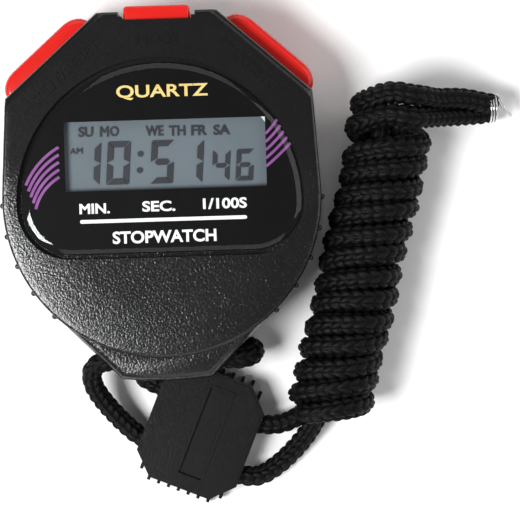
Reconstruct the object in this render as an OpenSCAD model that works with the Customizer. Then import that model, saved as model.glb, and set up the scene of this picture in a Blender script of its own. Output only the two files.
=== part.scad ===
/* [Case] */
// Radius of the round body of the case
case_radius = 33; // [30:0.5:36]
// Height of the front face above the back
face_z = 19; // [18:0.5:22]
// Height of the joint line between the two case shells
seam_z = 9; // [8.5:0.25:9.5]
// Half width of the flat at the top of the case
top_half = 12.45; // [11:0.05:14]
// Height of the top flat above the middle of the round body
top_y = 38.7; // [37:0.1:40]
// Half width across the two shoulder corners
shoulder_half = 31.8; // [31:0.1:32.5]
// Height of the shoulder corners above the middle of the round body
shoulder_y = 21.5; // [20:0.1:23]
// Distance from the middle of the round body down to the end of the lanyard tab
tab_reach = 37.9; // [37:0.1:39]
// Height of the tab's underside above the back
tab_under = 7.8; // [7.6:0.1:8.2]
// Depth of the step from the front face down to the tab
tab_step = 1.4; // [0.8:0.1:2]

/* [Lens and display] */
// Radius of the lens
lens_radius = 29.4; // [28:0.1:30]
// Distance of the lens's flat lower edge below the middle of the round body
lens_flat = 11.6; // [10:0.1:13]
// Corner radius at the ends of the lens's flat edge
lens_corner = 10.5; // [6:0.5:12]
// Width of the clear window
window_w = 41.7; // [38:0.1:42]
// Height of the clear window
window_h = 14.4; // [12:0.1:15]
// Middle of the clear window across the case
window_x = 0.95; // [-1:0.05:1]
// Middle of the clear window above the middle of the round body
window_y = 9.1; // [8.5:0.1:9.5]

/* [Buttons] */
// Travel of the two shoulder buttons
side_travel = 1.2; // [0.6:0.1:1.4]
// Travel of the mode button
mode_travel = 0.9; // [0.5:0.1:1.1]
// Length of the shoulder buttons along the shoulder
side_button_l = 23.2; // [22:0.1:24]
// How far the shoulder buttons stand out of the shoulder
side_proud = 3.4; // [2.5:0.1:4]
// Width of the mode button
mode_button_w = 13.7; // [12:0.1:14]
// How far the mode button stands out of the top flat
mode_proud = 1.2; // [1:0.1:1.5]

/* [Cord and adjuster] */
// Diameter of the cord
cord_d = 4.4; // [4:0.1:4.6]
// Length of the adjuster along the cord
adjuster_l = 22.5; // [20:0.5:24]
// Width of the adjuster across the two strands
adjuster_w = 25.7; // [24:0.1:28]
// Thickness of the adjuster
adjuster_t = 7.4; // [7.2:0.05:7.4]
// Outer diameter of the wound hank
hank_d = 17.8; // [17:0.1:18.4]

/* [Hidden] */
$fn = 72;

// The row's origin is under the middle of the watch's box, this far above the round body's middle
origin_up = (top_y + mode_proud - tab_reach) / 2;
far = 100;
thin = 0.02;

// Shells
wall = 1.8;
floor_t = 1.8;
cavity_r = case_radius - wall;
cavity_bottom = -29;
rear_bottom = -28.5;
tab_top_z = face_z - tab_step;
shell_gap = 0.25;
tab_half = case_radius * sqrt(2) - tab_reach + 0.6;
tab_arc_up = 0.6;
step_r = case_radius - 0.4;
tab_bevel = 1.5;
arc_step = 4;
ribs = 5;
rib_r = 0.6;
rib_at_r = case_radius + 0.15;
rib_first = -1;
rib_pitch = 11.25;

// The shoulder's direction, its outward direction and its distance from the round body's middle
shoulder_run = [shoulder_half - top_half, shoulder_y - top_y];
shoulder_len = norm(shoulder_run);
shoulder_turn = atan2(shoulder_run[1], shoulder_run[0]);
shoulder_dist = top_half * -sin(shoulder_turn) + top_y * cos(shoulder_turn);

// Lens stack
lens_y = -0.9;
lens_t = 1.8;
lens_gap = 0.15;
seat_z = 17.0;
tape_t = 0.1;
mask_t = 0.2;
mask_inset = 0.3;
tape_w = 2;
ledge_z = 16;
lens_z = seat_z + tape_t + mask_t;

// Display stack
glass_w = window_w + 1.8;
glass_h = window_h + 2;
board_z = 7.8;
board_t = 1.2;
board_top = board_z + board_t;
cell_z = 13.6;
cell_t = 1.8;
foil_t = 0.2;
frame_w = glass_w + 2;
frame_h = glass_h + 2;
zebra_h = cell_z - board_top;
zebra_t = 1.6;
board_r = 24.8;

// Screws, as places about the middle of the round body
case_screw_at = [[27.2, 8], [-27.2, 8], [20.2, -19.8], [-20.2, -19.8]];
board_screw_at = [[-8, 20.6], [8, 20.6], [0, -22]];
case_boss_r = 3.2;
rear_boss_r = 3.3;
case_head_r = 1.9;
case_head_seat = 3.0;
case_head_h = 1.8;
case_shank_r = 0.9;
screw_play = 0.05;
shank_hole_r = 1.1;
board_boss_r = 2;
board_head_r = 1.5;
board_head_h = 0.9;
board_shank_r = 0.7;
screw_end_z = 14;

// Button pockets: a = along the edge, b = outward from the edge
pocket_z = 3;
pocket_top = 16;
pocket_deep = 3.2;
pocket_floor_t = 1.4;
side_start = 2.3;
pocket_gap = 0.35;
neck_z = 6;
neck_h = 6.4;
neck_side_w = 15;
neck_mode_w = 8.5;
flange_t = 1.2;
flange_z = 4.6;
flange_h = 9.2;
flange_side_w = 18.5;
flange_mode_w = 11.5;
flange_play = 0.05;
cap_inner = -1.5;
button_round = 1.3;

// Cell and sounder
button_cell_at = [-9, -13.5];
button_cell_r = 5.8;
sounder_at = [12, -9];
sounder_r = 10;

// Tab hole
hole_y = -33.5;
hole_z = 12;
hole_r = 2.6;

// Adjuster: u runs along the strands, v across them
adjuster_at = [6.2, -50.3];
adjuster_turn = -22.7;
channel_v = 5.8;
channel_r = 2.45;
channel_z = 3.7;
mouth_deep = 4.2;
mouth_w = 8.6;
corner_cut = 4.5;
teeth = 9;
tooth_w = 0.7;

// Hank: its axis runs from hank_foot towards hank_head, level
hank_foot = [32.9, -48.6];
hank_head = [50.2, 18.6];
hank_z = hank_d / 2;

// The cord's route, left strand: tab hole, bend, adjuster, curve, hank
left_route = [
    [0, -34.5, 12], [-7, -34.5, 12], [-11.5, -34.5, 12], [-14.2, -34.9, 11.7],
    [-16, -36.6, 10.6], [-16.1, -39.2, 9], [-14.9, -42, 7.2], [-12.8, -45, 5.5],
    [-10.2, -48, 4.3], [-6.9, -51, 3.7], [-2.5, -52.95, 3.7], [4, -55.65, 3.7],
    [10.4, -58.35, 3.7], [14.3, -60, 3.7], [18.2, -60.4, 3.3], [21.8, -58.6, 2.8],
    [25.2, -55.8, 2.6], [28.1, -52.6, 3.2], [30.4, -49.2, 4.8], [32, -46, 6.4]
];
// The right strand: tab hole, turn down and back under the tab, adjuster, curve, hank
right_route = [
    [0, -34.5, 12], [7, -34.5, 12], [11.5, -34.5, 12], [14.6, -34.7, 11.6],
    [17, -34.3, 10.1], [18, -33.6, 7.1], [16.9, -32.8, 4.2], [14.4, -32.4, 2.6],
    [8, -32.2, 2.3], [1, -32.1, 2.3], [-2.6, -32.3, 2.3], [-5.2, -33.5, 2.4],
    [-6.4, -35.8, 2.7], [-5.9, -38.3, 3.2], [-3.6, -39.9, 3.6], [2, -42.25, 3.7],
    [8.4, -44.95, 3.7], [14.8, -47.65, 3.7], [18.8, -49.3, 3.6], [21.8, -49.6, 3.4],
    [25, -48.9, 3.6], [28, -47.2, 4.6], [30.4, -45, 6]
];
// The tail's middle line, from the hank to the tie
tail_route = [[48.5, 14.5, 9], [52.5, 15.8, 7.8], [57, 16.5, 6], [62, 16.9, 4.9], [67, 16.8, 4.6], [71.4, 16.4, 4.5]];
cord_sides = 10;
tail_r = 3.6;

// ---------- helpers ----------

// Draws its children about the middle of the round body
module at_dial() {
    translate([0, -origin_up, 0]) children();
}

// Points of an arc about the middle of the round body
function arc_points(r, a0, a1) =
    [for (i = [0 : ceil(abs(a1 - a0) / arc_step)])
        let (a = a0 + (a1 - a0) * i / ceil(abs(a1 - a0) / arc_step))
        [r * cos(a), r * sin(a)]];

// Angle at which a line from point p touches the circle of radius r
function touch_angle(p, r) = atan2(p[1], p[0]) - acos(r / norm(p));

function mirrored(points) = [for (i = [len(points) - 1 : -1 : 0]) [-points[i][0], points[i][1]]];

right_side = concat(
    [[top_half, top_y], [shoulder_half, shoulder_y]],
    arc_points(case_radius, touch_angle([shoulder_half, shoulder_y], case_radius), -45),
    [[tab_half, tab_arc_up - tab_reach], [tab_half / 2, tab_arc_up / 4 - tab_reach]]
);

module outline(inset) {
    points = concat(right_side, [[0, -tab_reach]], mirrored(right_side));
    if (inset == 0) polygon(points);
    else offset(delta = -inset) polygon(points);
}

// A straight-sided body on the outline
module outline_body(z0, z1, inset = 0) {
    translate([0, 0, z0]) linear_extrude(z1 - z0) outline(inset);
}

// Draws its children on the right shoulder: x along it, y outward from it, x = 0 at the top corner
module on_shoulder() {
    translate([top_half, top_y, 0]) rotate([0, 0, shoulder_turn]) children();
}

module on_both_shoulders() {
    on_shoulder() children();
    mirror([1, 0, 0]) on_shoulder() children();
}

module block(x0, x1, y0, y1, z0, z1) {
    translate([x0, y0, z0]) cube([x1 - x0, y1 - y0, z1 - z0]);
}

module hole(at, r, z0, z1) {
    translate([at[0], at[1], z0]) cylinder(h = z1 - z0, r = r);
}

module lens_outline(inset = 0) {
    offset(delta = -inset)
        offset(r = lens_corner) offset(delta = -lens_corner)
            intersection() {
                translate([0, lens_y]) circle(r = lens_radius, $fn = 120);
                translate([-far, -lens_flat]) square([2 * far, far]);
            }
}

// ---------- case ----------

module grip_ribs(z0, z1, tip_at_top) {
    for (side = [0, 1], i = [0 : ribs - 1])
        mirror([side, 0, 0]) rotate([0, 0, rib_first - rib_pitch * i]) translate([rib_at_r, 0, 0]) {
            translate([0, 0, z0]) cylinder(h = z1 - z0, r = rib_r, $fn = 24);
            if (tip_at_top) translate([0, 0, z1]) cylinder(h = rib_r, r1 = rib_r, r2 = 0.2, $fn = 24);
        }
}

// Room for the two shoulder buttons' and the mode button's caps, necks and flanges
module button_rooms() {
    side_x1 = shoulder_len + 3;
    neck_in = -pocket_deep - pocket_floor_t;
    room_in = neck_in - flange_t - side_travel - 3;
    on_both_shoulders() {
        block(side_start - pocket_gap, side_x1, -pocket_deep, 9, pocket_z, pocket_top);
        translate([side_start + side_button_l / 2, 0, 0]) {
            block(-neck_side_w / 2 - pocket_gap, neck_side_w / 2 + pocket_gap, room_in, 1,
                neck_z - pocket_gap, neck_z + neck_h + pocket_gap);
            block(-flange_side_w / 2 - pocket_gap, flange_side_w / 2 + pocket_gap, room_in, neck_in,
                flange_z - pocket_gap, flange_z + flange_h + pocket_gap);
        }
    }
    translate([0, top_y, 0]) {
        block(-mode_button_w / 2 - pocket_gap, mode_button_w / 2 + pocket_gap, -pocket_deep, 5, pocket_z, far);
        block(-mode_button_w / 2 - 1.05, mode_button_w / 2 + 1.05, -1, 5, pocket_z, far);
        block(-neck_mode_w / 2 - pocket_gap, neck_mode_w / 2 + pocket_gap, room_in, 1,
            neck_z - pocket_gap, neck_z + neck_h + pocket_gap);
        block(-flange_mode_w / 2 - pocket_gap, flange_mode_w / 2 + pocket_gap, room_in, neck_in,
            flange_z - pocket_gap, flange_z + flange_h + pocket_gap);
    }
}

// The bevels round the lower, stepped face of the tab, kept off the round body
module tab_bevels() {
    difference() {
        for (side = [0, 1])
            mirror([side, 0, 0])
                translate([case_radius / sqrt(2), -case_radius / sqrt(2), tab_top_z - tab_bevel])
                    rotate([0, 0, 45]) rotate([0, -45, 0]) translate([0, -30, -5]) cube([9, 60, 30]);
        translate([0, 0, -1]) cylinder(h = far, r = case_radius + 0.6);
    }
    translate([-20, -tab_reach - 0.2, tab_top_z - tab_bevel])
        rotate([-45, 0, 0]) translate([0, -9, -5]) cube([40, 9, 30]);
}

module front_case() {
    color([0.13, 0.13, 0.14]) at_dial() difference() {
        union() {
            outline_body(seam_z, face_z);
            difference() {
                translate([0, 0, tab_under]) linear_extrude(seam_z - tab_under + 0.5) outline(shell_gap);
                block(-far, far, rear_bottom - 0.3, far, 0, far);
            }
            grip_ribs(seam_z, face_z - 2.6, true);
        }
        // step down to the tab
        difference() {
            block(-far, far, -far, -14, tab_top_z, far);
            cylinder(h = far, r = step_r);
        }
        tab_bevels();
        // lens seat and window
        translate([0, 0, seat_z]) linear_extrude(5) lens_outline(-lens_gap);
        block(window_x - window_w / 2 - 0.7, window_x + window_w / 2 + 0.7,
            window_y - window_h / 2 - 0.7, window_y + window_h / 2 + 0.7, 1, far);
        // inside
        difference() {
            intersection() {
                translate([0, 0, seam_z - 1]) cylinder(h = ledge_z - seam_z + 1, r = cavity_r);
                block(-far, far, cavity_bottom, far, 0, far);
            }
            for (p = case_screw_at) hole(p, case_boss_r, seam_z, ledge_z + 1);
            for (p = board_screw_at) hole(p, board_boss_r, board_top, ledge_z + 1);
        }
        for (p = case_screw_at) hole(p, case_shank_r + screw_play, seam_z - 1, screw_end_z + 1);
        for (p = board_screw_at) hole(p, board_shank_r + screw_play, seam_z - 1, screw_end_z + 1);
        button_rooms();
        // lanyard hole through the tab
        translate([-far, hole_y, hole_z]) rotate([0, 90, 0]) cylinder(h = 2 * far, r = hole_r);
    }
}

module rear_case() {
    color([0.12, 0.12, 0.13]) at_dial() difference() {
        union() {
            difference() {
                outline_body(0, seam_z, shell_gap);
                block(-far, far, -far, rear_bottom, -1, far);
            }
            difference() {
                grip_ribs(1.5, seam_z, false);
                block(-far, far, -far, rear_bottom, -1, far);
            }
        }
        difference() {
            intersection() {
                translate([0, 0, floor_t]) cylinder(h = far, r = cavity_r);
                block(-far, far, rear_bottom + wall, far, 0, far);
            }
            for (p = case_screw_at) hole(p, rear_boss_r, 0, seam_z);
            // well for the button cell
            difference() {
                hole(button_cell_at, button_cell_r + 1.3, 0, 6.6);
                hole(button_cell_at, button_cell_r + 0.15, -1, far);
                translate([button_cell_at[0] + 2, button_cell_at[1] - 2.6, floor_t]) cube([8, 5.2, far]);
            }
        }
        for (p = case_screw_at) {
            hole(p, case_head_r + 0.2, -1, case_head_seat);
            hole(p, shank_hole_r, -1, seam_z + 1);
        }
        button_rooms();
    }
}

// A screw standing point up: head from head_z, seat above it, shank to the screw's end
module screw(at, head_r, head_h, seat, shank_r) {
    translate([at[0], at[1], 0]) difference() {
        union() {
            translate([0, 0, seat - head_h]) cylinder(h = head_h, r = head_r);
            translate([0, 0, seat - 0.1]) cylinder(h = screw_end_z - seat - 0.9, r = shank_r);
            translate([0, 0, screw_end_z - 1]) cylinder(h = 1, r1 = shank_r, r2 = 0.3);
        }
        for (a = [0, 90]) rotate([0, 0, a])
            translate([-head_r * 0.65, -0.25, seat - head_h - 1]) cube([head_r * 1.3, 0.5, 1 + head_h * 0.6]);
    }
}

module case_screws() {
    color("silver") at_dial() for (p = case_screw_at)
        screw(p, case_head_r, case_head_h, case_head_seat, case_shank_r);
}

module board_screws() {
    color("silver") at_dial() for (p = board_screw_at)
        screw(p, board_head_r, board_head_h, board_z, board_shank_r);
}

// ---------- lens and display ----------

module lens() {
    color([0.85, 0.9, 0.95, 0.5]) at_dial()
        translate([0, 0, lens_z]) linear_extrude(lens_t) lens_outline();
}

module window_cut() {
    translate([window_x - window_w / 2, window_y - window_h / 2]) square([window_w, window_h]);
}

module dial_mask() {
    color([0.05, 0.05, 0.06]) at_dial() translate([0, 0, seat_z + tape_t]) linear_extrude(mask_t)
        difference() {
            lens_outline(mask_inset);
            window_cut();
        }
}

module lens_tape() {
    color("ivory") at_dial() translate([0, 0, seat_z]) linear_extrude(tape_t)
        difference() {
            lens_outline(mask_inset);
            lens_outline(mask_inset + tape_w);
        }
}

module display_plate(w, h, z, t) {
    translate([window_x - w / 2, window_y - h / 2, z]) cube([w, h, t]);
}

module lcd_cell() {
    color([0.55, 0.6, 0.62]) at_dial() display_plate(glass_w, glass_h, cell_z, cell_t);
}

module lcd_polariser() {
    color([0.5, 0.55, 0.58]) at_dial() display_plate(glass_w - 0.6, window_h + 0.8, cell_z + cell_t, foil_t);
}

module lcd_reflector() {
    color([0.8, 0.8, 0.8]) at_dial() display_plate(glass_w - 2, window_h - 3.4, cell_z - foil_t, foil_t);
}

module lcd_frame() {
    color([0.9, 0.9, 0.88]) at_dial() difference() {
        display_plate(frame_w, frame_h, board_top, cell_z + cell_t - board_top);
        display_plate(glass_w + 0.1, glass_h + 0.1, cell_z, far);
        display_plate(glass_w - 1.6, glass_h - 5, board_top - 1, far);
        for (side = [-1, 1]) display_plate_at_zebra(side, 0.05, board_top - 1, far);
    }
}

// The slot or strip along the cell's long edge on the given side
module display_plate_at_zebra(side, play, z, t) {
    translate([window_x - glass_w / 2 + 1 - play, window_y + side * (glass_h / 2 - 1.1) - zebra_t / 2 - play, z])
        cube([glass_w - 2 + 2 * play, zebra_t + 2 * play, t]);
}

module zebra_strip(side) {
    color([0.85, 0.5, 0.55]) at_dial() display_plate_at_zebra(side, 0, board_top, zebra_h);
}

module zebra_strip_upper() {
    zebra_strip(1);
}

module zebra_strip_lower() {
    zebra_strip(-1);
}

// ---------- board and electrics ----------

module circuit_board() {
    color([0.1, 0.4, 0.2]) at_dial() difference() {
        union() {
            translate([0, 0, board_z]) cylinder(h = board_t, r = board_r);
            display_plate(frame_w, frame_h, board_z, board_t);
        }
        for (p = board_screw_at) hole(p, board_shank_r + 0.2, 0, far);
    }
}

module chip_blob() {
    blob_r = 7;
    blob_h = 1.6;
    color([0.04, 0.04, 0.04]) at_dial() translate([2, 6, board_z - blob_h]) intersection() {
        translate([0, 0, blob_r]) sphere(r = blob_r);
        translate([-far / 2, -far / 2, 0]) cube([far, far, blob_h]);
    }
}

module quartz_crystal() {
    color("silver") at_dial() translate([-6, 14, board_z - 1.1]) {
        rotate([0, 90, 0]) cylinder(h = 6, r = 1);
        for (y = [-0.4, 0.4]) {
            translate([-1.6, y, 0]) rotate([0, 90, 0]) cylinder(h = 1.7, r = 0.15, $fn = 24);
            translate([-1.5, y, 0]) cylinder(h = 1.1, r = 0.15, $fn = 24);
        }
    }
}

module chip_capacitors() {
    color([0.7, 0.55, 0.4]) at_dial() for (i = [0 : 3])
        translate([10 + 3 * i, 3, board_z - 0.8]) cube([1.2, 2, 0.8]);
}

module button_cell() {
    color("silver") at_dial() translate([button_cell_at[0], button_cell_at[1], floor_t + 0.05])
        rotate_extrude()
            polygon([[0, 0], [5.5, 0], [button_cell_r, 0.3], [button_cell_r, 4.6], [5.5, 4.9], [4.9, 4.9],
                [4.9, 5.2], [4.7, 5.4], [0, 5.4]]);
}

// Strip on the board that stands against the side of the cell's can
module cell_contact_plus() {
    x = button_cell_at[0] + button_cell_r + 0.05;
    color([0.85, 0.75, 0.4]) at_dial() {
        block(x, x + 0.3, button_cell_at[1] - 2, button_cell_at[1] + 2, 2.6, board_z);
        block(x + 0.3, x + 3, button_cell_at[1] - 2, button_cell_at[1] + 2, board_z - 0.3, board_z);
    }
}

// Strip under the board that bears on the cell's cap
module cell_contact_minus() {
    z = floor_t + 0.05 + 5.4;
    color([0.85, 0.75, 0.4]) at_dial() {
        block(button_cell_at[0] - 4, button_cell_at[0] + 4, button_cell_at[1] - 1.5, button_cell_at[1] + 1.5,
            z, z + 0.25);
        block(button_cell_at[0] - 4, button_cell_at[0] - 1, button_cell_at[1] - 1.5, button_cell_at[1] + 1.5,
            z + 0.25, board_z);
    }
}

module sounder_disc() {
    color([0.85, 0.7, 0.3]) at_dial() translate([sounder_at[0], sounder_at[1], floor_t]) {
        cylinder(h = 0.25, r = sounder_r);
        cylinder(h = 0.45, r = 0.7 * sounder_r);
    }
}

// One coil contact, as stacked rings joined by short posts
module coil_contact(z0, z1) {
    turns = 7;
    pitch = (z1 - z0 - 0.4) / (turns - 1);
    for (i = [0 : turns - 1])
        translate([0, 0, z0 + 0.2 + i * pitch]) rotate_extrude($fn = 32)
            translate([1.1, 0]) circle(r = 0.2, $fn = 16);
    for (i = [0 : turns - 2])
        rotate([0, 0, 180 * i]) translate([1.1, 0, z0 + 0.2 + i * pitch]) cylinder(h = pitch, r = 0.16, $fn = 16);
}

module sounder_springs() {
    color("silver") at_dial() {
        translate([sounder_at[0], sounder_at[1], 0]) coil_contact(floor_t + 0.45, board_z);
        translate([sounder_at[0] + 0.85 * sounder_r, sounder_at[1], 0]) coil_contact(floor_t + 0.25, board_z);
    }
}

// ---------- buttons ----------

// Neck and inner flange of a button, x across, y outward from the edge of the case
module button_stem(neck_w, flange_w) {
    neck_in = -pocket_deep - pocket_floor_t - flange_play;
    block(-neck_w / 2, neck_w / 2, neck_in, cap_inner + 0.2, neck_z, neck_z + neck_h);
    block(-flange_w / 2, flange_w / 2, neck_in - flange_t, neck_in, flange_z, flange_z + flange_h);
}

// Plan of a shoulder button: flat outside, its ends curved down
module side_plan(inset) {
    bend = 4.7;
    end = side_start + side_button_l;
    offset(delta = -inset) polygon(concat(
        [[side_start, cap_inner]],
        [for (a = [0 : 10 : 90]) [side_start + bend * (1 - cos(a)), side_proud * sin(a)]],
        [for (a = [90 : -10 : 0]) [end - bend * (1 - cos(a)), side_proud * sin(a)]],
        [[end, cap_inner]]
    ));
}

module side_button() {
    hull() {
        for (a = [0 : 30 : 90]) {
            translate([0, 0, pocket_z + pocket_gap + button_round * (1 - sin(a))])
                linear_extrude(thin) side_plan(button_round * (1 - cos(a)));
            translate([0, 0, pocket_top - pocket_gap - thin - button_round * (1 - sin(a))])
                linear_extrude(thin) side_plan(button_round * (1 - cos(a)));
        }
    }
    translate([side_start + side_button_l / 2, 0, 0]) button_stem(neck_side_w, flange_side_w);
}

module button_start_stop() {
    color([0.9, 0.12, 0.1]) at_dial() on_shoulder() side_button();
}

module button_split_reset() {
    color([0.9, 0.12, 0.1]) at_dial() mirror([1, 0, 0]) on_shoulder() side_button();
}

module button_mode() {
    cap_top = face_z - 0.8;
    color([0.9, 0.12, 0.1]) at_dial() translate([0, top_y, 0]) {
        difference() {
            block(-mode_button_w / 2, mode_button_w / 2, -1.9, mode_proud, pocket_z + pocket_gap, cap_top);
            for (z = [pocket_z + pocket_gap, cap_top])
                translate([-far / 2, mode_proud, z]) rotate([45, 0, 0]) cube([far, 0.7, 0.7], center = false);
        }
        block(-neck_mode_w / 2, neck_mode_w / 2, cap_inner - 0.6, cap_inner, neck_z, neck_z + neck_h);
        button_stem(neck_mode_w, flange_mode_w);
    }
}

// Sprung switch leaf: a strip that leaves the board's edge and bears on the button's flange
module switch_leaf() {
    tip = -pocket_deep - pocket_floor_t - flange_play - flange_t - 0.05;
    foot = board_r - shoulder_dist - 2.2;
    t = 0.3;
    translate([0, 0, board_top])
        linear_extrude(3)
            polygon([[-4, foot], [-2, foot], [2.2, tip - t - 0.5], [4.4, tip - t - 0.5], [4.4, tip - t], [3.6, tip],
                [2, tip], [-2.3, foot + t], [-4, foot + t]]);
}

module leaf_start_stop() {
    color([0.8, 0.7, 0.4]) at_dial() on_shoulder()
        translate([side_start + side_button_l / 2, 0, 0]) switch_leaf();
}

module leaf_split_reset() {
    color([0.8, 0.7, 0.4]) at_dial() mirror([1, 0, 0]) on_shoulder()
        translate([side_start + side_button_l / 2, 0, 0]) switch_leaf();
}

module leaf_mode() {
    tip = top_y - pocket_deep - pocket_floor_t - flange_play - flange_t - 0.05;
    foot = board_r - 1.6;
    t = 0.3;
    color([0.8, 0.7, 0.4]) at_dial() translate([0, 0, board_top]) linear_extrude(3)
        polygon([[-4.5, foot], [-1.5, foot], [2.2, tip - t - 0.5], [4, tip - t - 0.5], [4, tip - t], [3.3, tip],
            [2, tip], [-1.8, foot + t], [-4.5, foot + t]]);
}

// ---------- adjuster ----------

module on_adjuster() {
    translate([adjuster_at[0], adjuster_at[1], 0]) rotate([0, 0, adjuster_turn]) children();
}

module adjuster_plan(inset = 0) {
    l = adjuster_l / 2 - inset;
    w = adjuster_w / 2 - inset;
    c = corner_cut - inset * 0.4;
    polygon([[l, w - c], [l - c, w], [c - l, w], [-l, w - c], [-l, c - w], [c - l, -w], [l - c, -w], [l, c - w]]);
}

module adjuster_channels() {
    for (v = [-channel_v, channel_v]) {
        translate([-far, v, channel_z]) rotate([0, 90, 0]) cylinder(h = 2 * far, r = channel_r);
        for (side = [-1, 1])
            translate([side * adjuster_l / 2, v, channel_z])
                cube([2 * mouth_deep, mouth_w, 2 * channel_r], center = true);
    }
}

module adjuster_front() {
    rim_w = 0.45;
    slot_u = 5;
    slot_v = 19.4;
    slot_at = 1.2;
    bevel = 0.4;
    color([0.16, 0.16, 0.16]) on_adjuster() difference() {
        union() {
            translate([0, 0, channel_z]) linear_extrude(adjuster_t - bevel - channel_z) adjuster_plan();
            translate([0, 0, adjuster_t - bevel]) linear_extrude(bevel - 0.2) adjuster_plan(bevel);
            translate([slot_at - slot_u / 2 - rim_w, -slot_v / 2 - rim_w, adjuster_t - 1])
                cube([slot_u + 2 * rim_w, slot_v + 2 * rim_w, 1]);
        }
        translate([slot_at - slot_u / 2, -slot_v / 2, adjuster_t - 0.7]) cube([slot_u, slot_v, 2]);
        adjuster_channels();
    }
}

module adjuster_back() {
    pitch = (adjuster_l - 2 * corner_cut) / (teeth - 3);
    color([0.14, 0.14, 0.14]) on_adjuster() difference() {
        union() {
            linear_extrude(channel_z) adjuster_plan(0.3);
            for (side = [-1, 1], i = [0 : teeth - 1]) {
                at_end = i == 0 || i == teeth - 1;
                out = at_end ? -0.6 : 1.1;
                u = (i - (teeth - 1) / 2) * pitch;
                translate([u - tooth_w / 2, side > 0 ? 5 : -adjuster_w / 2 - out, 0.8])
                    cube([tooth_w, adjuster_w / 2 - 5 + out, 2]);
            }
        }
        adjuster_channels();
    }
}

// ---------- cord ----------

function unit(v) = v / norm(v);
function heading(route, i) =
    unit(route[min(i + 1, len(route) - 1)] - route[max(i - 1, 0)]);
function across(h) = unit(cross([0, 0, 1], h));
function ring(p, h, r, sides) =
    let (a = across(h), b = cross(h, a))
    [for (k = [0 : sides - 1]) p + r * (cos(360 * k / sides) * a + sin(360 * k / sides) * b)];

// A tube of radius r along the route, one ring at each point
module tube(route, r, sides) {
    n = len(route);
    points = [for (i = [0 : n - 1]) each ring(route[i], heading(route, i), r, sides)];
    walls = [for (i = [0 : n - 2], k = [0 : sides - 1])
        let (a = i * sides + k, b = i * sides + (k + 1) % sides)
        each [[a, a + sides, b], [b, a + sides, b + sides]]];
    caps = [[for (k = [0 : sides - 1]) k], [for (k = [sides - 1 : -1 : 0]) (n - 1) * sides + k]];
    polyhedron(points = points, faces = concat(walls, caps), convexity = 10);
}

module cord_left() {
    color([0.08, 0.08, 0.08]) tube(left_route, cord_d / 2, cord_sides);
}

module cord_right() {
    color([0.08, 0.08, 0.08]) tube(right_route, cord_d / 2, cord_sides);
}

module cord_hank() {
    run = hank_head - hank_foot;
    long = norm(run);
    end_r = 4;
    r = hank_d / 2;
    color([0.07, 0.07, 0.07])
        translate([hank_foot[0], hank_foot[1], hank_z])
            rotate([0, 0, atan2(run[1], run[0])]) rotate([0, 90, 0])
                rotate_extrude()
                    polygon(concat(
                        [[0, 0]],
                        [for (a = [-90 : 15 : 0]) [r - end_r + end_r * cos(a), end_r + end_r * sin(a)]],
                        [for (a = [0 : 15 : 90]) [r - end_r + end_r * cos(a), long - end_r + end_r * sin(a)]],
                        [[0, long]]
                    ));
}

module cord_tail() {
    color([0.08, 0.08, 0.08]) tube(tail_route, tail_r, cord_sides);
}

// Wire tie: a turned cap round the doubled tail's end and its twisted wire
module cord_tie() {
    end = tail_route[len(tail_route) - 1];
    color("silver") translate(end) {
        rotate([0, 90, 0]) cylinder(h = 1.2, r = tail_r - 0.4);
        translate([1.1, 0, 0]) rotate([0, 100, -30]) cylinder(h = 3.2, r = 0.55, $fn = 24);
    }
}

// ---------- drawing ----------

front_case();
rear_case();
lens();
dial_mask();
lens_tape();
lcd_cell();
lcd_polariser();
lcd_reflector();
lcd_frame();
zebra_strip_upper();
zebra_strip_lower();
circuit_board();
chip_blob();
quartz_crystal();
chip_capacitors();
button_cell();
cell_contact_plus();
cell_contact_minus();
sounder_disc();
sounder_springs();
button_split_reset();
button_mode();
button_start_stop();
leaf_split_reset();
leaf_mode();
leaf_start_stop();
case_screws();
board_screws();
adjuster_front();
adjuster_back();
cord_left();
cord_right();
cord_hank();
cord_tail();
cord_tie();
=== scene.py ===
"""Digital stopwatch on a cord lanyard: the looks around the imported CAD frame."""

import math

import bmesh
import bpy
import numpy as np
from mathutils import Matrix, Vector


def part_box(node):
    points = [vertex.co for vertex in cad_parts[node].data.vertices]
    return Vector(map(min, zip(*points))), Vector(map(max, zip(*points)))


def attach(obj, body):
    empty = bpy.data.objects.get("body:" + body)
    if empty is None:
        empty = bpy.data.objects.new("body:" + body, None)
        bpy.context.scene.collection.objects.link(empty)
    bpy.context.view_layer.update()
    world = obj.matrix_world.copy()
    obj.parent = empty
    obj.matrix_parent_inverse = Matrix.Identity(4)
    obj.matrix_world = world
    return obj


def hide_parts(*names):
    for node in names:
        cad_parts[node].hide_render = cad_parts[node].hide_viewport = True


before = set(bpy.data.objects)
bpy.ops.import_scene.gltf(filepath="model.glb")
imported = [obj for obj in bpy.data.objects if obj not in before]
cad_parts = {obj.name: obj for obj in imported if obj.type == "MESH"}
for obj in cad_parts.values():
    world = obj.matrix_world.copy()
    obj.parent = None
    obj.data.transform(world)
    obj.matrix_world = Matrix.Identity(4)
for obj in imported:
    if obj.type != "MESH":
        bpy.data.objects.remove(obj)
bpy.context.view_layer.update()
MM = 0.001


# ---------- places taken from the frame ----------

def box_mm(node):
    """A CAD node's lowest and highest corners, in millimetres."""
    low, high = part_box(node)
    return np.array(low) / MM, np.array(high) / MM


FRONT_LOW, FRONT_HIGH = box_mm("front_case")
BACK_HIGH = box_mm("rear_case")[1]

CASE_R = 33.0  # the round body's radius
TAB_REACH = 37.9  # from the round body's middle to the end of the tab
FACE_Z = FRONT_HIGH[2]
SEAM_Z = BACK_HIGH[2]
DIAL_Y = FRONT_LOW[1] + TAB_REACH  # the round body's middle


# ---------- small helpers ----------

def smooth_step(a, b, x):
    """0 below a, 1 above b, and a smooth rise between."""
    t = np.clip((x - a) / (b - a), 0, 1)
    return t * t * (3 - 2 * t)


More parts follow.
